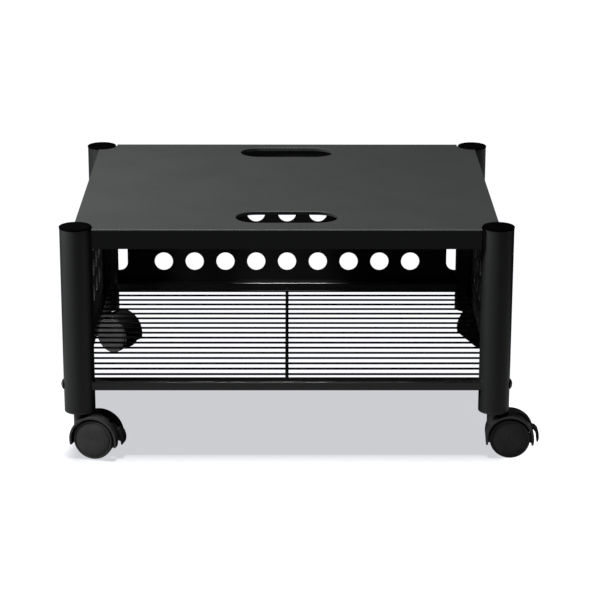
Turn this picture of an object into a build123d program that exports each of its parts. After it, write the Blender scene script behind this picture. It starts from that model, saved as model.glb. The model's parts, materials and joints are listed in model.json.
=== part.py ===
"""Low mobile stand for a desktop printer: four round legs, a folded steel deck, perforated
side and back panels, a wire shelf near the floor and four twin-wheel swivel casters.

Millimetres. +Z is up, -Y is the front, +X is the right-hand side seen from the front.
The origin is on the floor in the middle of the rectangle that the four legs stand on.
"""

import os
from math import cos, radians, sin

from build123d import *

os.makedirs("parts", exist_ok=True)

# Legs: round tube, one in each corner
leg_x = 254.0
leg_y = 208.0
leg_radius = 19.05
leg_wall = 1.5
leg_inside = leg_radius - leg_wall
tube_bottom = 59.0
tube_top = 289.0
cap_radius = 19.5
cap_top = 292.0

# Deck: folded sheet with a lip at the front and at the back, open at the sides
sheet = 1.2
deck_half_width = 256.3
deck_half_depth = 220.0
deck_top = 290.0
deck_under = deck_top - sheet
lip_bottom = 265.8
lip_half_width = 233.4
fold_radius = 2.0
leg_notch_radius = 19.9
slot_length = 124.5
slot_width = 52.0
slot_front_y = -162.0
slot_back_y = 173.0
slot_rim_bottom = 285.5

# Shelf frame: flat tube rails across, square bars along the sides, round wires
rail_depth = 19.0
rail_height = 11.2
rail_wall = 1.5
rail_bottom = 85.3
rail_top = rail_bottom + rail_height
rail_middle = rail_bottom + rail_height / 2
bar_inner_x = 249.5
bar_width = 9.0
wire_radius = 1.4
wire_height = 92.0
wire_count = 18
wire_first_y = -175.0
wire_pitch = 350.0 / (wire_count - 1)
support_wire_radius = 2.1

# Perforated panels
hole_radius = 12.7
hole_pitch = 43.0
side_hole_rows = (132.0, 166.5, 201.0, 235.5)
back_hole_rows = (123.7, 158.8, 193.9, 229.0)
flange_width = 14.0
back_panel_y = 214.0
back_flange_front = 203.0
back_panel_half_width = 222.5
window_bottom = 111.0
window_top = 262.0
window_corner = 11.0

# Fasteners
bolt_radius = 2.4
bolt_hole_radius = 2.8
bolt_inner_x = 211.0
bolt_head_radius = 6.5
insert_length = 22.0
stud_radius = 2.4
stud_hole_radius = 2.9
stud_bottom = 280.0
nut_height = 4.0
nut_radius = 4.5

# Casters: twin wheels on one axle under a hood, trailing behind the swivel stem
foot_bottom = 57.0
stem_radius = 5.5
stem_top = 83.0
collar_radius = 8.0
collar_bottom = 54.5
pin_radius = 4.5
pin_bottom = 38.8
groove_radius = 4.0
groove_bottom = 44.0
groove_top = 46.4
running_gap = 0.05
trail = 20.5
wheel_radius = 24.8
wheel_inner_y = 7.4
wheel_outer_y = 16.4
hood_half_width = 17.8
hood_inner = 27.3
hood_outer = 29.8
hood_end_angle = 15.0
boss_radius = 8.0
boss_top = 54.0
web_half = 4.5
axle_radius = 3.0
axle_half_length = 13.9
lever_pivot = (17.6, 14.8)
lever_pin_radius = 1.5
lever_neck_half = 3.0
lever_pad_half = 6.8
lever_slot_half = 7.2

corners = {
    "front_left": (-leg_x, -leg_y),
    "front_right": (leg_x, -leg_y),
    "back_left": (-leg_x, leg_y),
    "back_right": (leg_x, leg_y),
}
# Which way each caster trails, in degrees from +X
headings = {
    "front_left": -13.0,
    "front_right": -3.0,
    "back_left": -35.0,
    "back_right": 17.0,
}


def save(shape, name):
    """Labels one sub-part and writes it."""
    shape.label = name
    export_step(shape, "parts/" + name + ".step")


def leg_cylinders(radius):
    """Cuts the four leg circles out of the part that is being built."""
    with Locations(*[(x, y, 180) for x, y in corners.values()]):
        Cylinder(radius, 300, mode=Mode.SUBTRACT)


# ---------------------------------------------------------------- legs, caps, sockets
for corner, (x, y) in corners.items():
    with BuildPart() as leg:
        with BuildSketch(Plane.XY.offset(tube_bottom)):
            with Locations((x, y)):
                Circle(leg_radius)
                Circle(leg_inside, mode=Mode.SUBTRACT)
        extrude(amount=tube_top - tube_bottom)
        with Locations((x, y, rail_middle)):
            Cylinder(bolt_hole_radius, 60, rotation=(0, 90, 0), mode=Mode.SUBTRACT)
    save(leg.part, "leg_" + corner)

    # Domed plug with a skirt and six grip ribs inside the tube
    with BuildPart() as cap:
        with BuildSketch(Plane.XZ):
            with BuildLine():
                Polyline((0, cap_top), (0, tube_top), (cap_radius, tube_top), (cap_radius, cap_top - 1.5))
                ThreePointArc((cap_radius, cap_top - 1.5), (cap_radius - 0.5, cap_top - 0.7), (18.0, cap_top - 0.4))
                ThreePointArc((18.0, cap_top - 0.4), (14.0, cap_top - 0.1), (10.0, cap_top))
                Line((10.0, cap_top), (0, cap_top))
            make_face()
        revolve(axis=Axis.Z)
        with BuildSketch(Plane.XY.offset(tube_top - 14)):
            Circle(16.8)
            Circle(15.0, mode=Mode.SUBTRACT)
            with PolarLocations(16.9, 6):
                Rectangle(1.2, 1.6)
        extrude(amount=14)
    save(Pos(x, y, 0) * cap.part, "cap_" + corner)

    # Ribbed insert in the foot of the tube that grips the caster stem
    with BuildPart() as socket:
        with BuildSketch(Plane.XY.offset(foot_bottom)):
            Circle(leg_radius)
        extrude(amount=tube_bottom - foot_bottom)
        fillet(socket.edges().sort_by(Axis.Z)[0], 0.8)
        with BuildSketch(Plane.XY.offset(tube_bottom)):
            Circle(leg_inside)
            Circle(leg_inside - 1.8, mode=Mode.SUBTRACT)
            Circle(8.5)
            with PolarLocations(12.2, 6):
                Rectangle(8.6, 1.8)
        extrude(amount=24)
        with Locations((0, 0, foot_bottom)):
            Cylinder(stem_radius, 60, mode=Mode.SUBTRACT)
    save(Pos(x, y, 0) * socket.part, "socket_" + corner)

# ---------------------------------------------------------------- deck
with BuildPart() as deck:
    with BuildSketch(Plane.YZ.offset(-deck_half_width)) as deck_profile:
        with BuildLine():
            Polyline(
                (-deck_half_depth, lip_bottom),
                (-deck_half_depth, deck_top),
                (deck_half_depth, deck_top),
                (deck_half_depth, lip_bottom),
                (deck_half_depth - sheet, lip_bottom),
                (deck_half_depth - sheet, deck_under),
                (-deck_half_depth + sheet, deck_under),
                (-deck_half_depth + sheet, lip_bottom),
                close=True,
            )
        make_face()
        outer_folds = deck_profile.vertices().filter_by_position(Axis.Y, deck_top - 0.1, deck_top + 0.1)
        fillet(outer_folds, fold_radius)
        inner_folds = deck_profile.vertices().filter_by_position(Axis.Y, deck_under - 0.1, deck_under + 0.1)
        fillet(inner_folds, fold_radius - sheet)
    extrude(amount=2 * deck_half_width)
    leg_cylinders(leg_notch_radius)
    # The lips end just inside the legs
    corner_width = deck_half_width - lip_half_width + 1
    corner_x = lip_half_width + corner_width / 2
    with Locations(*[(side_x * corner_x, y, deck_top) for side_x in (-1, 1) for y in (-leg_y - 10, leg_y + 10)]):
        Box(corner_width, 20, 60, mode=Mode.SUBTRACT)
    # Two hand slots with rims turned down
    with BuildSketch(Plane.XY.offset(slot_rim_bottom)):
        with Locations((0, slot_front_y), (0, slot_back_y)):
            SlotOverall(slot_length + 2 * sheet, slot_width + 2 * sheet)
    extrude(amount=deck_under - slot_rim_bottom)
    with BuildSketch(Plane.XY.offset(slot_rim_bottom - 1)):
        with Locations((0, slot_front_y), (0, slot_back_y)):
            SlotOverall(slot_length, slot_width)
    extrude(amount=deck_top - slot_rim_bottom + 2, mode=Mode.SUBTRACT)
    top_face = deck.faces().filter_by(Axis.Z).sort_by(Axis.Z)[-1]
    rim_edges = top_face.inner_wires().edges()
    fillet(rim_edges, 1.2)
save(deck.part, "deck")

# Weld studs under the deck, and the nuts that clamp the panel flanges to it
stud_x = deck_half_width - 7.5
stud_back_y = 208.4
stud_places = [(side * stud_x, y) for side in (-1, 1) for y in (-120, 0, 120)]
stud_places += [(-150, stud_back_y), (150, stud_back_y)]
with BuildPart() as deck_studs:
    with BuildSketch(Plane.XY.offset(stud_bottom)):
        with Locations(*stud_places):
            Circle(stud_radius)
    extrude(amount=deck_under - stud_bottom)
save(deck_studs.part, "deck_studs")

with BuildPart() as deck_nuts:
    with BuildSketch(Plane.XY.offset(deck_under - sheet - nut_height)):
        with Locations(*stud_places):
            RegularPolygon(nut_radius, 6)
            Circle(stud_radius, mode=Mode.SUBTRACT)
    extrude(amount=nut_height)
save(deck_nuts.part, "deck_nuts")

# ---------------------------------------------------------------- perforated panels
for side, name in ((-1, "side_panel_left"), (1, "side_panel_right")):
    with BuildPart() as side_panel:
        with BuildSketch(Plane.XZ.offset(-leg_y)) as side_profile:
            with BuildLine():
                Polyline(
                    (side * deck_half_width, rail_top),
                    (side * deck_half_width, deck_under),
                    (side * (deck_half_width - flange_width), deck_under),
                    (side * (deck_half_width - flange_width), deck_under - sheet),
                    (side * (deck_half_width - sheet), deck_under - sheet),
                    (side * (deck_half_width - sheet), rail_top),
                    close=True,
                )
            make_face()
            fold = side_profile.vertices().filter_by_position(Axis.Y, deck_under - 0.1, deck_under + 0.1)
            fillet(fold.sort_by(Axis.X)[0 if side < 0 else -1], fold_radius)
        extrude(amount=2 * leg_y)
        leg_cylinders(leg_radius)
        columns = [hole_pitch * step for step in range(-3, 4)]
        with Locations(*[(side * deck_half_width, y, z) for y in columns for z in side_hole_rows]):
            Cylinder(hole_radius, 10, rotation=(0, 90, 0), mode=Mode.SUBTRACT)
        with Locations(*[(side * stud_x, y, deck_under) for y in (-120, 0, 120)]):
            Cylinder(stud_hole_radius, 10, mode=Mode.SUBTRACT)
    save(side_panel.part, name)

with BuildPart() as back_panel:
    with BuildSketch(Plane.YZ.offset(-leg_x)) as back_profile:
        with BuildLine():
            Polyline(
                (back_panel_y + sheet, rail_top),
                (back_panel_y + sheet, deck_under),
                (back_flange_front, deck_under),
                (back_flange_front, deck_under - sheet),
                (back_panel_y, deck_under - sheet),
                (back_panel_y, rail_top),
                close=True,
            )
        make_face()
        fold = back_profile.vertices().filter_by_position(Axis.Y, deck_under - 0.1, deck_under + 0.1)
        fillet(fold.sort_by(Axis.X)[-1], fold_radius)
    extrude(amount=2 * leg_x)
    leg_cylinders(leg_radius)
    # One open window beside each rear leg
    with BuildSketch(Plane.XZ.offset(-back_panel_y - 6)):
        with Locations((-leg_x, (window_bottom + window_top) / 2), (leg_x, (window_bottom + window_top) / 2)):
            RectangleRounded(2 * (leg_x - back_panel_half_width), window_top - window_bottom, window_corner)
    extrude(amount=12, mode=Mode.SUBTRACT)
    columns = [hole_pitch * step for step in range(-4, 5)]
    with Locations(*[(x, back_panel_y, z) for x in columns for z in back_hole_rows]):
        Cylinder(hole_radius, 10, rotation=(90, 0, 0), mode=Mode.SUBTRACT)
    with Locations((-150, stud_back_y, deck_under), (150, stud_back_y, deck_under)):
        Cylinder(stud_hole_radius, 10, mode=Mode.SUBTRACT)
save(back_panel.part, "back_panel")

# ---------------------------------------------------------------- wire shelf
for y, name in ((-leg_y, "front_rail"), (leg_y, "back_rail")):
    with BuildPart() as rail:
        with BuildSketch(Plane.YZ.offset(-leg_x)):
            with Locations((y, rail_middle)):
                RectangleRounded(rail_depth, rail_height, 1.4)
                Rectangle(rail_depth - 2 * rail_wall, rail_height - 2 * rail_wall, mode=Mode.SUBTRACT)
        extrude(amount=2 * leg_x)
        leg_cylinders(leg_radius)
    save(rail.part, name)

for side, name in ((-1, "shelf_bar_left"), (1, "shelf_bar_right")):
    with BuildPart() as shelf_bar:
        with BuildSketch(Plane.XZ.offset(-leg_y)):
            with Locations((side * (bar_inner_x + bar_width / 2), rail_middle)):
                Rectangle(bar_width, rail_height)
                Rectangle(bar_width - 2.4, rail_height - 2.4, mode=Mode.SUBTRACT)
        extrude(amount=2 * leg_y)
        leg_cylinders(leg_radius)
    save(shelf_bar.part, name)

with BuildPart() as shelf_wires:
    wire_rows = [wire_first_y + wire_pitch * row for row in range(wire_count)]
    with BuildSketch(Plane.YZ.offset(-bar_inner_x)):
        with Locations(*[(y, wire_height) for y in wire_rows]):
            Circle(wire_radius)
    extrude(amount=2 * bar_inner_x)
save(shelf_wires.part, "shelf_wires")

# The long wire that carries the others from below, from rail to rail
with BuildPart() as support_wire:
    support_length = 2 * (leg_y - rail_depth / 2)
    with BuildSketch(Plane.XZ.offset(-support_length / 2)):
        with Locations((0, wire_height - wire_radius - support_wire_radius)):
            Circle(support_wire_radius)
    extrude(amount=support_length)
save(support_wire.part, "support_wire")

# Bolts through the legs into threaded inserts in the rail ends
with BuildPart() as rail_bolts:
    for x, y in corners.values():
        side = 1 if x > 0 else -1
        seat = leg_x + leg_radius
        bolt_length = seat - bolt_inner_x
        with Locations((side * (bolt_inner_x + bolt_length / 2), y, rail_middle)):
            Cylinder(bolt_radius, bolt_length, rotation=(0, 90, 0))
        with BuildSketch(Plane(origin=(0, y, rail_middle), x_dir=(side, 0, 0), z_dir=(0, side, 0))):
            with BuildLine():
                Line((seat, 0), (seat, bolt_head_radius))
                Line((seat, bolt_head_radius), (seat + 0.7, bolt_head_radius))
                RadiusArc((seat + 0.7, bolt_head_radius), (seat + 3.2, 0), 9.8)
                Line((seat + 3.2, 0), (seat, 0))
            make_face()
        revolve(axis=Axis((0, y, rail_middle), (1, 0, 0)))
        with Locations((side * (seat + 3.0), y, rail_middle)):
            Box(3.0, 4.6, 1.1, mode=Mode.SUBTRACT)
            Box(3.0, 1.1, 4.6, mode=Mode.SUBTRACT)
save(rail_bolts.part, "rail_bolts")

with BuildPart() as rail_inserts:
    for x, y in corners.values():
        side = 1 if x > 0 else -1
        insert_x = side * (bolt_inner_x + insert_length / 2 - 2)
        with Locations((insert_x, y, rail_middle)):
            Box(insert_length, rail_depth - 2 * rail_wall, rail_height - 2 * rail_wall)
            Cylinder(bolt_radius, insert_length + 2, rotation=(0, 90, 0), mode=Mode.SUBTRACT)
save(rail_inserts.part, "rail_inserts")

# ---------------------------------------------------------------- casters
# Each caster is drawn with its stem on the Z axis and trailing towards +X, then turned
wheel_centre = (trail, wheel_radius)


def around_wheel(a, b):
    """A point of the XZ plane given from the wheel centre."""
    return (trail + a, wheel_radius + b)


for corner, (x, y) in corners.items():
    place = Pos(x, y, 0)
    turn = Pos(x, y, 0) * Rot(0, 0, headings[corner])
    braked = corner.startswith("front")

    with BuildPart() as stem:
        with BuildSketch(Plane.XZ):
            with BuildLine():
                Polyline(
                    (0, pin_bottom),
                    (pin_radius, pin_bottom),
                    (pin_radius, groove_bottom),
                    (groove_radius, groove_bottom),
                    (groove_radius, groove_top),
                    (pin_radius, groove_top),
                    (pin_radius, collar_bottom),
                    (collar_radius, collar_bottom),
                    (collar_radius, foot_bottom),
                    (stem_radius, foot_bottom),
                    (stem_radius, stem_top - 1.5),
                    (stem_radius - 1.5, stem_top),
                    (0, stem_top),
                    close=True,
                )
            make_face()
        revolve(axis=Axis.Z)
    save(place * stem.part, "stem_" + corner)

    with BuildPart() as caster_body:
        # Hood: a curved shell over both wheels
        with BuildSketch(Plane.XZ):
            with Locations(wheel_centre):
                Circle(hood_outer)
                Circle(hood_inner, mode=Mode.SUBTRACT)
            with BuildLine():
                reach_x = 60 * cos(radians(hood_end_angle))
                reach_z = 60 * sin(radians(hood_end_angle))
                Polyline(
                    wheel_centre,
                    around_wheel(reach_x, -reach_z),
                    around_wheel(reach_x, -90),
                    around_wheel(-reach_x, -90),
                    around_wheel(-reach_x, -reach_z),
                    close=True,
                )
            make_face(mode=Mode.SUBTRACT)
        extrude(amount=hood_half_width, both=True)
        # Web between the wheels, a hub round the axle and the boss round the pin
        with BuildSketch(Plane.XZ):
            with Locations(wheel_centre):
                Circle(hood_inner + 0.5)
            with Locations(around_wheel(-21, 11)):
                Rectangle(60, 40, mode=Mode.INTERSECT)
        extrude(amount=web_half, both=True)
        with BuildSketch(Plane.XZ):
            with Locations(wheel_centre):
                Circle(6.5)
        extrude(amount=wheel_inner_y - 0.4, both=True)
        with BuildSketch(Plane.XY.offset(32)):
            Circle(boss_radius)
        extrude(amount=boss_top - 32)
        # Room for the wheels
        for side in (-1, 1):
            with Locations((trail, side * (wheel_inner_y - 0.4 + 10), wheel_radius)):
                Cylinder(hood_inner, 20, rotation=(90, 0, 0), mode=Mode.SUBTRACT)
        if braked:
            # Slot in the hood for the brake lever, and two ears for its pin
            with BuildSketch(Plane.XZ):
                with BuildLine():
                    Polyline(
                        around_wheel(11, 8),
                        around_wheel(20, 28),
                        around_wheel(45, 28),
                        around_wheel(45, -30),
                        around_wheel(18, -30),
                        close=True,
                    )
                make_face()
            extrude(amount=lever_slot_half, both=True, mode=Mode.SUBTRACT)
            with BuildSketch(Plane.XZ):
                with BuildLine():
                    Polyline(
                        around_wheel(21.2, 12.4),
                        around_wheel(21.2, 16.4),
                        around_wheel(17.4, 21.0),
                        around_wheel(12.5, 24.3),
                        around_wheel(4.0, 27.2),
                        around_wheel(4.0, 15.0),
                        around_wheel(13.5, 11.0),
                        around_wheel(18.0, 10.8),
                        close=True,
                    )
                make_face()
            extrude(amount=6.8, both=True)
            with Locations((trail + 16.9, 0, wheel_radius + 8)):
                Box(16, 2 * (lever_neck_half + 0.4), 42, mode=Mode.SUBTRACT)
            with Locations((trail + lever_pivot[0], 0, wheel_radius + lever_pivot[1])):
                Cylinder(lever_pin_radius, 20, rotation=(90, 0, 0), mode=Mode.SUBTRACT)
        # Bore for the axle
        with Locations((trail, 0, wheel_radius)):
            Cylinder(axle_radius, 60, rotation=(90, 0, 0), mode=Mode.SUBTRACT)
        # Blind bore for the pin, with a snap rib that sits in the groove of the pin
        with BuildSketch(Plane.XZ):
            with BuildLine():
                bore = pin_radius + running_gap
                rib = groove_radius + running_gap
                Polyline(
                    (0, pin_bottom - 0.6),
                    (bore, pin_bottom - 0.6),
                    (bore, groove_bottom + 0.4),
                    (rib, groove_bottom + 0.4),
                    (rib, groove_top - 0.4),
                    (bore, groove_top - 0.4),
                    (bore, boss_top + 1),
                    (0, boss_top + 1),
                    close=True,
                )
            make_face()
        revolve(axis=Axis.Z, mode=Mode.SUBTRACT)
    save(turn * caster_body.part, "caster_body_" + corner)

    with BuildPart() as axle:
        with Locations((trail, 0, wheel_radius)):
            Cylinder(axle_radius, 2 * axle_half_length, rotation=(90, 0, 0))
        chamfer(axle.edges(), 0.4)
    save(turn * axle.part, "axle_" + corner)

    for side, position in ((-1, "outer"), (1, "inner")):
        with BuildPart() as wheel:
            with BuildSketch(Plane.XY):
                with BuildLine():
                    Polyline(
                        (3.0 + running_gap, wheel_inner_y),
                        (9.0, wheel_inner_y),
                        (9.0, wheel_inner_y + 4.5),
                        (19.5, wheel_inner_y + 4.5),
                        (19.5, wheel_inner_y),
                        (wheel_radius - 1.0, wheel_inner_y),
                        (wheel_radius, wheel_inner_y + 1.0),
                        (wheel_radius, wheel_outer_y - 2.0),
                        (wheel_radius - 0.5, wheel_outer_y - 0.8),
                        (wheel_radius - 1.5, wheel_outer_y - 0.2),
                        (22.1, wheel_outer_y - 0.2),
                        (21.8, wheel_outer_y - 0.8),
                        (21.2, wheel_outer_y - 0.8),
                        (20.9, wheel_outer_y - 0.1),
                        (19.0, wheel_outer_y),
                        (0, wheel_outer_y),
                        (0, 14.6),
                        (3.0 + running_gap, 14.6),
                        close=True,
                    )
                make_face()
            revolve(axis=Axis.Y)
        facing = Pos(trail, 0, wheel_radius) * Rot(0, 0, 0 if side > 0 else 180)
        save(turn * facing * wheel.part, "wheel_" + corner + "_" + position)

    if braked:
        with BuildPart() as lever:
            with BuildSketch(Plane.XZ) as lever_outline:
                with BuildLine():
                    Polyline(
                        around_wheel(14.2, 15.6),
                        around_wheel(16.2, 18.3),
                        around_wheel(19.4, 19.4),
                        around_wheel(23.2, 16.2),
                        around_wheel(26.8, 13.6),
                        around_wheel(30.8, 12.4),
                        around_wheel(34.0, 9.0),
                        around_wheel(35.8, 3.6),
                        around_wheel(36.1, -1.0),
                        around_wheel(35.4, -4.6),
                        around_wheel(33.9, -7.8),
                        around_wheel(32.8, -4.8),
                        around_wheel(32.4, 0.0),
                        around_wheel(31.8, 4.8),
                        around_wheel(30.0, 8.2),
                        around_wheel(26.0, 10.4),
                        around_wheel(18.6, 11.3),
                        around_wheel(15.4, 12.2),
                        close=True,
                    )
                make_face()
                fillet(lever_outline.vertices(), 0.6)
            extrude(amount=lever_neck_half, both=True)
            with BuildSketch(Plane.XZ):
                add(lever_outline.sketch)
                with Locations(wheel_centre):
                    Circle(30.6, mode=Mode.SUBTRACT)
            extrude(amount=lever_pad_half, both=True)
            with Locations((trail + lever_pivot[0], 0, wheel_radius + lever_pivot[1])):
                Cylinder(lever_pin_radius + running_gap, 30, rotation=(90, 0, 0), mode=Mode.SUBTRACT)
        save(turn * lever.part, "brake_lever_" + corner)

        with BuildPart() as lever_pin:
            with Locations((trail + lever_pivot[0], 0, wheel_radius + lever_pivot[1])):
                Cylinder(lever_pin_radius, 13.6, rotation=(90, 0, 0))
        save(turn * lever_pin.part, "lever_pin_" + corner)
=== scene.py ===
"""Looks of the mobile printer stand: powder-coated steel, moulded black plastic, a white studio.

Metres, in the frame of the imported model: +Z up, -Y the open front, +X to the right of it.
Profiles of turned pieces are (radius, height) points in millimetres.
"""

import json
from math import cos, pi, radians, sin

import bpy
import bmesh
from mathutils import Matrix, Vector

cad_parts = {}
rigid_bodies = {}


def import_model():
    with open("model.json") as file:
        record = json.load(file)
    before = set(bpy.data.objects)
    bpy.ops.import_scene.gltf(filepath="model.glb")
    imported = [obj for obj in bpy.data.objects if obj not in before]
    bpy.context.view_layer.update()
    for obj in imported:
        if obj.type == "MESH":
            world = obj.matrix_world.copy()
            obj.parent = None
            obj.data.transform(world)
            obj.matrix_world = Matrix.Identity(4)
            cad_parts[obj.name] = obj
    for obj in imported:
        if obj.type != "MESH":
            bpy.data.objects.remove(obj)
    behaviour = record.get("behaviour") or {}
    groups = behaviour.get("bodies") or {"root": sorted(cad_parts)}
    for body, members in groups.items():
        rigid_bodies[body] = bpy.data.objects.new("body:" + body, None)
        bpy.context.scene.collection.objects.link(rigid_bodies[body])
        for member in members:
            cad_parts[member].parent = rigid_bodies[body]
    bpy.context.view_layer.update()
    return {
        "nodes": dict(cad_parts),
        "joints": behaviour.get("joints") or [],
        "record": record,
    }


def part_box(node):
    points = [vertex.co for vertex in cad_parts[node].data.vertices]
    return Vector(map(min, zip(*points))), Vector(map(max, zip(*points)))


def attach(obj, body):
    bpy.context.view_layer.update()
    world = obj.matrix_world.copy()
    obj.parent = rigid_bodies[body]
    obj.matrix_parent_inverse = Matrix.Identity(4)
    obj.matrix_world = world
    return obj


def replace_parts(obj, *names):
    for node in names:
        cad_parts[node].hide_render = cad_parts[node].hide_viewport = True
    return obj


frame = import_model()
nodes = frame["nodes"]

MM = 0.001
CORNERS = ("front_left", "front_right", "back_left", "back_right")
FACETS = 96  # round a leg, a plug or a wheel

WIRE_COUNT = 18

# Millimetres
TUBE_OUTER, TUBE_INNER = 19.05, 17.55  # radii of a leg
WHEEL_OUT = 12.0  # from a caster's middle plane to each wheel's joint


# ------------------------------------------------------------------ camera
def make_camera():
    """A long lens well in front of the stand, a little above it, almost square to its front."""
    place = (0.0013, -2.84915, 1.02041)
    pitch, yaw, roll = radians(17.2885), radians(0.316), radians(0.103)
    data = bpy.data.cameras.new("camera")
    data.lens = 137.06
    data.sensor_width = 36.0
    camera = bpy.data.objects.new("camera", data)
    bpy.context.scene.collection.objects.link(camera)
    forward = Vector((sin(yaw) * cos(pitch), cos(yaw) * cos(pitch), -sin(pitch)))
    level = Vector((cos(yaw), -sin(yaw), 0.0))
    upright = level.cross(forward)
    across = cos(roll) * level + sin(roll) * upright
    up = cos(roll) * upright - sin(roll) * level
    turn = Matrix((across, up, -forward)).transposed()
    camera.matrix_world = Matrix.Translation(place) @ turn.to_4x4()
    bpy.context.scene.camera = camera


# ------------------------------------------------------------------ materials
def set_inputs(node, values):
    """Sets a node's sockets, given as {socket name: value}."""
    for name, value in values.items():
        node.inputs[name].default_value = value


class Nodes:
    """A material's node tree with short ways to add and link nodes."""

    def __init__(self, name):
        self.material = bpy.data.materials.new(name)
        self.material.use_nodes = True
        self.tree = self.material.node_tree
        self.shader = self.tree.nodes["Principled BSDF"]
        self.place = self.add("ShaderNodeTexCoord").outputs["Object"]

    def add(self, kind, **settings):
        node = self.tree.nodes.new(kind)
        for key, value in settings.items():
            setattr(node, key, value)
        return node

    def link(self, output, socket):
        self.tree.links.new(output, socket)

    def noise(self, scale, detail=2.0, rough=0.5, stretch=None):
        """Noise in object space, scale in cells per metre."""
        texture = self.add("ShaderNodeTexNoise")
        set_inputs(texture, {"Scale": scale, "Detail": detail, "Roughness": rough})
        place = self.place
        if stretch:
            mapping = self.add("ShaderNodeMapping")
            set_inputs(mapping, {"Scale": stretch})
            self.link(place, mapping.inputs["Vector"])
            place = mapping.outputs["Vector"]
        self.link(place, texture.inputs["Vector"])
        return texture.outputs["Fac"]

    def tint(self, value, colour, dark, light):
        """Colours the surface from dark to light times a colour, by a value."""
        ramp = self.add("ShaderNodeValToRGB")
        for element, position, share in zip(
            ramp.color_ramp.elements, (0.35, 0.65), (dark, light)
        ):
            element.position = position
            element.color = (*(share * channel for channel in colour), 1)
        self.link(value, ramp.inputs["Fac"])
        self.link(ramp.outputs["Color"], self.shader.inputs["Base Color"])

    def gloss(self, value, rough, specular=0.5):
        """Lets the middle of a noise vary the roughness within a range."""
        spread = self.add("ShaderNodeMapRange")
        set_inputs(
            spread, {"From Min": 0.3, "From Max": 0.7, "To Min": rough[0], "To Max": rough[1]}
        )
        self.link(value, spread.inputs["Value"])
        self.link(spread.outputs["Result"], self.shader.inputs["Roughness"])
        set_inputs(self.shader, {"Specular IOR Level": specular})

    def math(self, operation, first, second):
        """Works out one value of two, of which the second may be a plain number."""
        node = self.add("ShaderNodeMath", operation=operation)
        self.link(first, node.inputs[0])
        if isinstance(second, float):
            node.inputs[1].default_value = second
        else:
            self.link(second, node.inputs[1])
        return node.outputs[0]

    def bump(self, height, depth):
        """Bumps the surface by a height field, depth in metres."""
        node = self.add("ShaderNodeBump")
        set_inputs(node, {"Distance": depth})
        self.link(height, node.inputs["Height"])
        self.link(node.outputs["Normal"], self.shader.inputs["Normal"])


def powder_coat(name, colour, rough=(0.42, 0.5), specular=0.5, grain=1.0):
    """Baked black powder coat: an orange-peel skin with finer grit and a faint cloudiness."""
    m = Nodes(name)
    clouds = m.noise(14.0, detail=4.0, rough=0.6)
    m.tint(clouds, colour, dark=0.95, light=1.05)
    peel = m.noise(650.0, detail=1.5)
    grit = m.noise(2600.0)
    m.gloss(peel, rough, specular)
    skin = m.math("ADD", m.math("MULTIPLY", peel, 0.7), m.math("MULTIPLY", grit, 0.3))
    m.bump(skin, 0.06 * MM * grain)
    return m.material


def moulded(name, colour, rough=(0.45, 0.6), specular=0.4):
    """Moulded black plastic with a spark-eroded skin."""
    m = Nodes(name)
    m.tint(m.noise(60.0, detail=3.0), colour, dark=0.85, light=1.15)
    skin = m.noise(1900.0, detail=3.0, rough=0.6)
    m.gloss(skin, rough, specular)
    m.bump(skin, 0.04 * MM)
    return m.material


def bare_metal(name, colour):
    """Turned or zinc-plated steel with fine tool marks."""
    m = Nodes(name)
    marks = m.noise(120.0, detail=3.0, stretch=(1.0, 1.0, 40.0))
    m.tint(marks, colour, dark=0.8, light=1.1)
    m.gloss(marks, rough=(0.25, 0.4))
    set_inputs(m.shader, {"Metallic": 1.0})
    m.bump(marks, 0.02 * MM)
    return m.material


def make_materials():
    """One material for each material slot of the record."""
    coats = {
        "deck_sheet": dict(colour=(0.0116, 0.0121, 0.0119), rough=(0.48, 0.56), specular=0.16),
        "panel_sheet": dict(colour=(0.0065,) * 3, specular=0.15),
        "leg_tube": dict(colour=(0.0072, 0.0076, 0.0075), rough=(0.34, 0.42), specular=0.22),
        "rail_tube": dict(colour=(0.005,) * 3, rough=(0.19, 0.23), specular=0.36, grain=0.3),
        "shelf_wire": dict(colour=(0.003,) * 3, specular=0.15),
        "bolt_black": dict(colour=(0.02,) * 3, rough=(0.18, 0.3), grain=0.4),
    }
    plastics = {
        "cap_plastic": dict(colour=(0.0006,) * 3, rough=(0.8, 0.9), specular=0.0),
        "socket_plastic": dict(colour=(0.008,) * 3),
        "caster_plastic": dict(colour=(0.013,) * 3, rough=(0.34, 0.46)),
        "wheel_plastic": dict(colour=(0.024,) * 3, rough=(0.5, 0.62), specular=0.1),
        "lever_plastic": dict(colour=(0.006,) * 3, specular=0.25),
    }
    metals = {
        "stem_steel": dict(colour=(0.32, 0.32, 0.33)),
        "zinc_steel": dict(colour=(0.42, 0.43, 0.45)),
    }
    made = {}
    for kind, table in ((powder_coat, coats), (moulded, plastics), (bare_metal, metals)):
        for slot, look in table.items():
            made[slot] = kind(slot, **look)
    return made


def finish_cad_nodes(materials):
    """Every node gets its slot's material, softened edges and normals that keep faces flat."""
    for sub in frame["record"]["subparts"]:
        name = sub["node"]
        node = nodes[name]
        node.data.materials.clear()
        node.data.materials.append(materials[sub["material_slot"]])
        weld = node.modifiers.new("weld", "WELD")
        weld.merge_threshold = 0.01 * MM
        flat = node.modifiers.new("flat", "DECIMATE")
        flat.decimate_type = "DISSOLVE"
        flat.angle_limit = radians(0.5)
        is_moulding = name.startswith(("caster_body", "brake_lever"))
        edges = node.modifiers.new("edges", "BEVEL")
        edges.width = (0.5 if is_moulding else 0.25) * MM
        edges.segments = 2
        edges.limit_method = "ANGLE"
        edges.angle_limit = radians(35)
        normals = node.modifiers.new("normals", "WEIGHTED_NORMAL")
        normals.weight = 100  # large faces decide
        for face in node.data.polygons:
            face.use_smooth = True


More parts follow.
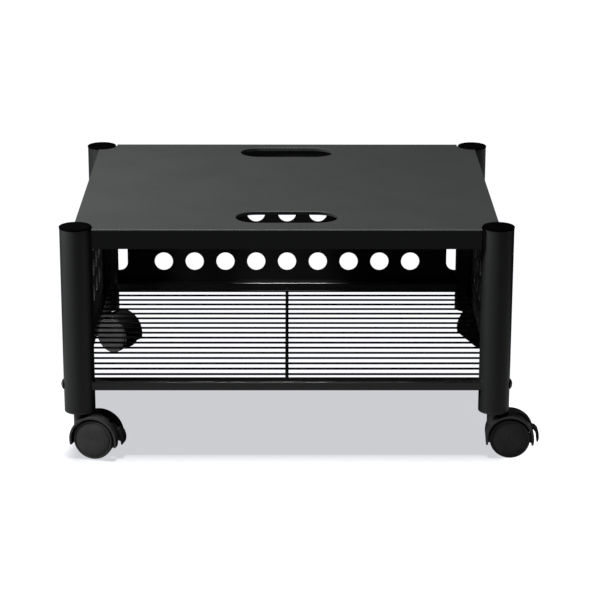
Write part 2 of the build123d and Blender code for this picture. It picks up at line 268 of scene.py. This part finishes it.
# ------------------------------------------------------------------ turned and drawn pieces
def add_piece(name, mesh_data, slot, body, materials, sharp=35.0):
    """Makes an object of a bmesh, shades it and puts it on a body."""
    bmesh.ops.recalc_face_normals(mesh_data, faces=mesh_data.faces)
    mesh = bpy.data.meshes.new(name)
    mesh_data.to_mesh(mesh)
    mesh_data.free()
    for face in mesh.polygons:
        face.use_smooth = True
    mesh.set_sharp_from_angle(angle=radians(sharp))
    mesh.materials.append(materials[slot])
    piece = bpy.data.objects.new(name, mesh)
    bpy.context.scene.collection.objects.link(piece)
    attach(piece, body)
    return piece


def turn_profile(mesh_data, profile, place, segments, closed=False):
    """Spins a profile round place's Z axis. Radius 0 is one point. A closed one is a ring."""
    rings = []
    for radius, height in profile:
        if radius == 0:
            rings.append([mesh_data.verts.new(place @ Vector((0, 0, height * MM)))])
            continue
        ring = []
        for step in range(segments):
            angle = 2 * pi * step / segments
            point = Vector((radius * MM * cos(angle), radius * MM * sin(angle), height * MM))
            ring.append(mesh_data.verts.new(place @ point))
        rings.append(ring)
    pairs = list(zip(rings, rings[1:]))
    if closed:
        pairs.append((rings[-1], rings[0]))
    for low, high in pairs:
        for step in range(segments):
            after = (step + 1) % segments
            if len(low) == 1:
                corners = (low[0], high[step], high[after])
            elif len(high) == 1:
                corners = (low[step], low[after], high[0])
            else:
                corners = (low[step], low[after], high[after], high[step])
            mesh_data.faces.new(corners)


def arc(centre, radius, start, end, steps):
    """Points of a circular arc of a profile, angles in degrees."""
    points = []
    for step in range(steps + 1):
        angle = radians(start + (end - start) * step / steps)
        points.append((centre[0] + radius * cos(angle), centre[1] + radius * sin(angle)))
    return points


def tube_profile(bottom, top):
    """A plain tube."""
    return [(TUBE_INNER, bottom), (TUBE_OUTER, bottom), (TUBE_OUTER, top), (TUBE_INNER, top)]


def plug_profile(top, crown):
    """A cap: slightly domed, with a rounded rim over the tube's end and a skirt inside it."""
    rim, rim_drop, rounding = 19.5, 0.6, 1.1
    skirt_outer, skirt_inner, skirt_depth, ceiling = 16.8, 15.0, 14, 1
    dome = ((6.0, 0.02), (12.0, 0.12), (16.0, 0.28), (18.0, 0.45))
    profile = [(0, crown)] + [(radius, crown - drop) for radius, drop in dome]
    profile += arc((rim - rounding, crown - rim_drop - rounding), rounding, 80, 0, 5)
    profile += [(rim, top + 0.25), (rim - 0.25, top), (skirt_outer, top)]
    profile += [(skirt_outer, top - skirt_depth), (skirt_inner, top - skirt_depth)]
    profile += [(skirt_inner, top - ceiling), (0, top - ceiling)]
    return profile


def foot_profile(foot, bottom):
    """A stem socket: a rounded flange under the tube's end, a skirt in it and a core."""
    skirt_inner, core_outer, bore, depth = 15.75, 8.5, 5.5, 24
    rounding = 0.8
    profile = [(bore, foot), (TUBE_OUTER - 0.9, foot)]
    profile += arc((TUBE_OUTER - rounding, foot + rounding), rounding, -80, 0, 5)
    profile += [(TUBE_OUTER, bottom), (TUBE_INNER, bottom)]
    profile += [(TUBE_INNER, bottom + depth), (skirt_inner, bottom + depth)]
    profile += [(skirt_inner, bottom), (core_outer, bottom)]
    profile += [(core_outer, bottom + depth), (bore, bottom + depth)]
    return profile


def make_legs(materials):
    """Round tubes, the domed plugs on top and the moulded sockets in their feet."""
    for corner in CORNERS:
        low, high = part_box("leg_" + corner)
        place = Matrix.Translation(((low[0] + high[0]) / 2, (low[1] + high[1]) / 2, 0))
        bottom, top = low[2] / MM, high[2] / MM
        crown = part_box("cap_" + corner)[1][2] / MM
        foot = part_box("socket_" + corner)[0][2] / MM
        turned = (
            ("tube_", tube_profile(bottom, top), True, "leg_tube", "leg_"),
            ("plug_", plug_profile(top, crown), False, "cap_plastic", "cap_"),
            ("foot_", foot_profile(foot, bottom), True, "socket_plastic", "socket_"),
        )
        for name, profile, closed, slot, replaced in turned:
            mesh_data = bmesh.new()
            turn_profile(mesh_data, profile, place, FACETS, closed)
            piece = add_piece(name + corner, mesh_data, slot, "frame", materials)
            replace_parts(piece, replaced + corner)


def make_wires(materials):
    """Shelf wires with small weld fillets at the side bars, and the long wire under them."""
    low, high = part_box("shelf_wires")
    radius = (high[2] - low[2]) / 2 / MM
    centre_z = (high[2] + low[2]) / 2
    end = (high[0] - low[0]) / 2 / MM
    first_y, last_y = low[1] + radius * MM, high[1] - radius * MM
    # The fillet, from the side bar inwards: how far in, and how much thicker than the wire
    fillet = ((0.0, 0.9), (0.5, 0.3), (1.6, 0.0))
    profile = [(0, -end)] + [(radius + extra, -end + inwards) for inwards, extra in fillet]
    profile += [(radius, 0)]
    profile += [(radius + extra, end - inwards) for inwards, extra in reversed(fillet)]
    profile += [(0, end)]
    along_x = Matrix.Rotation(pi / 2, 4, "Y")
    wires = bmesh.new()
    for row in range(WIRE_COUNT):
        y = first_y + (last_y - first_y) * row / (WIRE_COUNT - 1)
        turn_profile(wires, profile, Matrix.Translation((0, y, centre_z)) @ along_x, 24)
    piece = add_piece("wires", wires, "shelf_wire", "frame", materials, sharp=60)
    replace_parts(piece, "shelf_wires")

    low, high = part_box("support_wire")
    radius = (high[2] - low[2]) / 2 / MM
    end = (high[1] - low[1]) / 2 / MM
    middle = Matrix.Translation(((low[0] + high[0]) / 2, 0, (high[2] + low[2]) / 2))
    along_y = Matrix.Rotation(pi / 2, 4, "X")
    profile = [(0, -end), (radius, -end), (radius, 0), (radius, end), (0, end)]
    carrier = bmesh.new()
    turn_profile(carrier, profile, middle @ along_y, 32)
    piece = add_piece("carrier_wire", carrier, "shelf_wire", "frame", materials)
    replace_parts(piece, "support_wire")


def wheel_profile():
    """A rounded tread, a groove near the face's edge, a dimple in its middle, a hollow back."""
    tread, inside, face = 24.8, 7.4, 16.4
    shoulder, face_drop, back_edge = 1.7, 0.2, 1.0
    bore, bore_end, hollow_inner, hollow_outer, hollow_end = 3.05, 14.6, 9.0, 19.5, 11.9
    # Radius, and how far under the face
    front = [(0, 0.25), (0.9, 0.22), (1.5, 0.03), (1.8, 0.0), (3.5, 0.0), (12.0, 0.02)]
    front += [(20.6, 0.12), (21.0, 0.25), (21.25, 0.85), (21.95, 0.85), (22.2, 0.3)]
    profile = [(radius, face - drop) for radius, drop in front]
    profile += arc((tread - shoulder, face - face_drop - shoulder), shoulder, 95, 0, 8)
    profile += arc((tread - back_edge, inside + back_edge), back_edge, 0, -90, 5)
    profile += [(hollow_outer, inside), (hollow_outer, hollow_end)]
    profile += [(hollow_inner, hollow_end), (hollow_inner, inside)]
    profile += [(bore, inside), (bore, bore_end), (0, bore_end)]
    return profile


def make_wheels(materials):
    """The two wheels of each caster, with their faces outwards."""
    for joint in frame["joints"]:
        if not joint["name"].startswith("spin_"):
            continue
        name = joint["child"]
        side = 1 if name.endswith("inner") else -1
        outward = side * Vector(joint["axis"])
        middle = Vector(joint["pos_m"]) - outward * WHEEL_OUT * MM
        across = Vector((0, 0, 1)).cross(outward)
        turn = Matrix((across, outward.cross(across), outward)).transposed()
        wheel = bmesh.new()
        place = Matrix.Translation(middle) @ turn.to_4x4()
        turn_profile(wheel, wheel_profile(), place, FACETS)
        disc = "disc" + name.removeprefix("wheel")
        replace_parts(add_piece(disc, wheel, "wheel_plastic", name, materials), name)


def make_hood_linings(materials):
    """Inner walls on both sides of the brake lever's slot, between the hood and the wheels."""
    inner, outer, slot_side, wheel_side = 25.0, 27.6, 7.5, 8.9
    section = ((inner, slot_side), (outer, slot_side), (outer, wheel_side), (inner, wheel_side))
    start, sweep, steps = -15, 71, 24  # degrees above the axle, on the trailing side
    joints = {joint["name"]: joint for joint in frame["joints"]}
    for name, brake in joints.items():
        if not name.startswith("brake_"):
            continue
        corner = name.removeprefix("brake_")
        spin = joints["spin_" + corner + "_inner"]
        across = Vector(spin["axis"])
        centre = Vector(spin["pos_m"]) - across * WHEEL_OUT * MM
        trailing = across.cross(Vector((0, 0, 1)))
        lining = bmesh.new()
        for side in (-1, 1):
            loops = []
            for radius, offset in section:
                loop = []
                for step in range(steps + 1):
                    angle = radians(start + sweep * step / steps)
                    height = Vector((0, 0, radius * sin(angle)))
                    point = trailing * radius * cos(angle) + height + across * side * offset
                    loop.append(lining.verts.new(centre + point * MM))
                loops.append(loop)
            for low, high in zip(loops, loops[1:] + loops[:1]):
                for step in range(steps):
                    corners = (low[step], low[step + 1], high[step + 1], high[step])
                    lining.faces.new(corners)
            lining.faces.new([loop[0] for loop in loops])
            lining.faces.new([loop[-1] for loop in reversed(loops)])
        body = brake["parent"]
        add_piece("hood_lining_" + corner, lining, "caster_plastic", body, materials)


# ------------------------------------------------------------------ studio
def add_sheet(name, corners):
    """A flat rectangle of the studio."""
    mesh = bpy.data.meshes.new(name)
    mesh.from_pydata(corners, [], [(0, 1, 2, 3)])
    sheet = bpy.data.objects.new(name, mesh)
    bpy.context.scene.collection.objects.link(sheet)
    return sheet


def make_floor():
    """A floor that glows white round the stand. Its glow is painted dimmer under and in front of
    the stand, a painted shadow, and raised elsewhere, which paints out the real shadows.
    """
    reach = 12.0
    painted_shadow_glow, shadow_hiding_glow = 0.635, 1.08  # camera-only glow, which doesn't light the stand: the dimmer one is the painted shadow's grey, the brighter one paints white over real shadows
    behind_fade, beside_fade, front_fade = (0.02, 0.07), (0.255, 0.285), (-0.5, -0.4)
    m = Nodes("floor")
    set_inputs(m.shader, {"Roughness": 1.0, "Specular IOR Level": 0.0})
    split = m.add("ShaderNodeSeparateXYZ")
    m.link(m.place, split.inputs["Vector"])

    def fade(value, band, low, high):
        node = m.add("ShaderNodeMapRange", interpolation_type="SMOOTHSTEP")
        ends = {"From Min": band[0], "From Max": band[1], "To Min": low, "To Max": high}
        set_inputs(node, ends)
        m.link(value, node.inputs["Value"])
        return node.outputs["Result"]

    # Painted shadow: the glow is dimmer in a patch under and in front of the stand, and fades up
    # to white beside, behind and far in front, which paints out the real shadows there
    away = m.math("ABSOLUTE", split.outputs["X"], 0.0)
    behind = fade(split.outputs["Y"], behind_fade, painted_shadow_glow, shadow_hiding_glow)
    beside = fade(away, beside_fade, painted_shadow_glow, shadow_hiding_glow)
    in_front = fade(split.outputs["Y"], front_fade, shadow_hiding_glow, painted_shadow_glow)
    glow_with_painted_shadow = m.math("MAXIMUM", m.math("MAXIMUM", behind, beside), in_front)
    seen = m.add("ShaderNodeLightPath").outputs["Is Camera Ray"]
    glow = m.math("MULTIPLY", glow_with_painted_shadow, seen)
    m.link(glow, m.shader.inputs["Emission Strength"])
    set_inputs(m.shader, {"Emission Color": (0.947, 0.957, 1.0, 1)})
    # Behind the middle the floor only glows, so that it is never brighter than the backdrop
    plain = m.add("ShaderNodeCombineColor")
    for channel, grey in (("Red", 0.29), ("Green", 0.292), ("Blue", 0.296)):
        m.link(fade(split.outputs["Y"], behind_fade, grey, 0.0), plain.inputs[channel])
    m.link(plain.outputs["Color"], m.shader.inputs["Base Color"])

    corners = [(-reach, -reach, 0), (reach, -reach, 0), (reach, reach, 0), (-reach, reach, 0)]
    floor = add_sheet("floor", corners)
    floor.data.materials.append(m.material)
    return floor


def make_flag():
    """An unseen card that stops light, so the front hand slot makes no bright patch below."""
    half_length, half_width, middle_y = 0.064, 0.028, -0.162
    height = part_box("deck")[1][2] - 4 * MM
    corners = []
    for x, y in ((-1, -1), (1, -1), (1, 1), (-1, 1)):
        corners.append((x * half_length, middle_y + y * half_width, height))
    flag = add_sheet("flag", corners)
    flag.visible_camera = False
    flag.visible_diffuse = False
    flag.visible_glossy = False
    flag.visible_transmission = False


def make_world():
    """A white backdrop for the eye and a dim grey room for the reflections."""
    world = bpy.data.worlds.new("studio")
    bpy.context.scene.world = world
    world.use_nodes = True
    tree = world.node_tree
    backdrop = tree.nodes["Background"]
    set_inputs(backdrop, {"Color": (1, 1, 1, 1), "Strength": 1.0})
    room = tree.nodes.new("ShaderNodeBackground")
    set_inputs(room, {"Color": (0.95, 0.98, 1.0, 1), "Strength": 0.035})
    path = tree.nodes.new("ShaderNodeLightPath")
    mix = tree.nodes.new("ShaderNodeMixShader")
    tree.links.new(path.outputs["Is Camera Ray"], mix.inputs[0])
    tree.links.new(room.outputs[0], mix.inputs[1])
    tree.links.new(backdrop.outputs[0], mix.inputs[2])
    tree.links.new(mix.outputs[0], tree.nodes["World Output"].inputs[0])


def area_light(name, place, target, size, power):
    """A soft box at place, facing target, power in watts."""
    data = bpy.data.lights.new(name, "AREA")
    data.shape = "RECTANGLE"
    data.size, data.size_y = size
    data.energy = power
    light = bpy.data.objects.new(name, data)
    bpy.context.scene.collection.objects.link(light)
    light.location = place
    aim = Vector(target) - Vector(place)
    light.rotation_euler = aim.to_track_quat("-Z", "Y").to_euler()
    return light


def limit_light(light, state, pieces):
    """Lets a light reach only these pieces (INCLUDE), or all but these (EXCLUDE)."""
    group = bpy.data.collections.new(light.name + "_group")
    for piece in pieces:
        group.objects.link(piece)
    for member in group.collection_objects:
        member.light_linking.link_state = state
    light.light_linking.receiver_collection = group


def make_studio():
    """Floor, backdrop and soft boxes: one above, one on the left, and fills for the far sides."""
    floor = make_floor()
    make_flag()
    make_world()
    area_light("top_box", (-0.05, -0.15, 2.3), (0.0, 0.0, 0.0), (0.4, 0.4), 105)

    # From the left: one box for all but floor and deck, and one without glare for the deck
    deck = nodes["deck"]
    target, size = (0.0, -0.1, 0.25), (0.35, 0.5)
    left_box = area_light("left_box", (-0.98, -0.3, 0.78), target, size, 46)
    limit_light(left_box, "EXCLUDE", [floor, deck])
    deck_box = area_light("deck_box", (-0.88, -0.02, 0.74), target, size, 56)
    deck_box.visible_glossy = False
    limit_light(deck_box, "INCLUDE", [deck])

    # The outsides and the back, which the boxes above and on the left don't reach
    outside = [
        nodes[name] for name in ("side_panel_right", "side_panel_left", "back_panel", "back_rail")
    ]
    outside += [bpy.data.objects[name] for name in ("tube_back_left", "tube_back_right")]
    target, size = (0.0, 0.1, 0.18), (0.8, 0.8)
    right_fill = area_light("right_fill", (1.5, 0.9, 0.9), target, size, 70)
    back_fill = area_light("back_fill", (-1.2, 1.4, 0.9), target, size, 45)
    limit_light(right_fill, "INCLUDE", outside)
    limit_light(back_fill, "INCLUDE", outside)

    view = bpy.context.scene.view_settings
    view.view_transform = "Standard"
    view.look = "None"


make_camera()
materials = make_materials()
finish_cad_nodes(materials)
make_legs(materials)
make_wires(materials)
make_wheels(materials)
make_hood_linings(materials)
make_studio()
